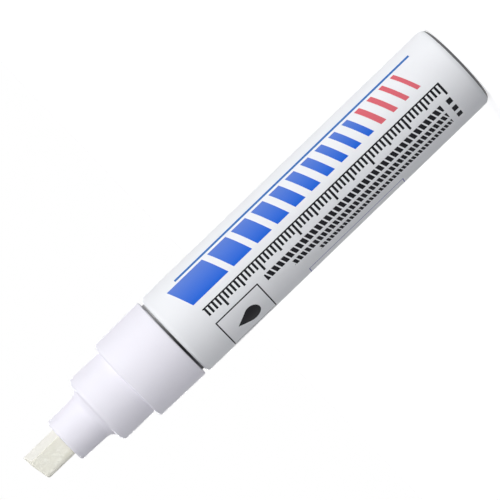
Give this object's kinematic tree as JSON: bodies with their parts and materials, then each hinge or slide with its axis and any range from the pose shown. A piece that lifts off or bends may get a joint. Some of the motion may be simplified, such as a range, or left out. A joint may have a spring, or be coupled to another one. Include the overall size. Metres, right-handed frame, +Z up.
{
  "type": "paint marker",
  "caption": "Broad chisel-tip paint marker, uncapped: aluminium barrel, stepped white front section, felt nib that opens a spring valve when pressed, and a loose mixing ball.",
  "frame": {"origin": "centre of the flat closed base that the marker stands on", "axes": "+Z up the marker's axis from the base to the nib, Y along the nib's wide side, X across its thickness"},
  "size_m": [0.0198, 0.0198, 0.1175],
  "materials": {
    "barrel_paint": "smooth white enamel with a plain printed design, bare metal on the base",
    "gasket_rubber": "matt black",
    "front_plastic": "white moulding with a soft gloss",
    "nib_felt": "pressed felt, damp with paint",
    "valve_plastic": "natural moulding",
    "seat_rubber": "matt",
    "spring_steel": "drawn wire",
    "ball_steel": "polished"
  },
  "bodies": {
    "marker_body": {"barrel": "barrel_paint", "barrel_gasket": "gasket_rubber", "front_section": "front_plastic", "valve_housing": "valve_plastic", "valve_seat": "seat_rubber", "valve_cage": "valve_plastic", "valve_spring": "spring_steel"},
    "nib_unit": {"nib": "nib_felt", "valve_plunger": "valve_plastic"},
    "agitator": {"mixing_ball": "ball_steel"}
  },
  "joints": [
    {"name": "nib_press", "type": "slide", "parent": "marker_body", "child": "nib_unit", "axis": [0, 0, -1], "range_m": [0, 0.002], "stiffness_N_per_m": 900, "springref_m": -0.003, "deforming": ["valve_spring"]},
    {"name": "ball_rattle", "type": "slide", "parent": "marker_body", "child": "agitator", "axis": [0, 0, 1], "range_m": [0, 0.061]}
  ]
}
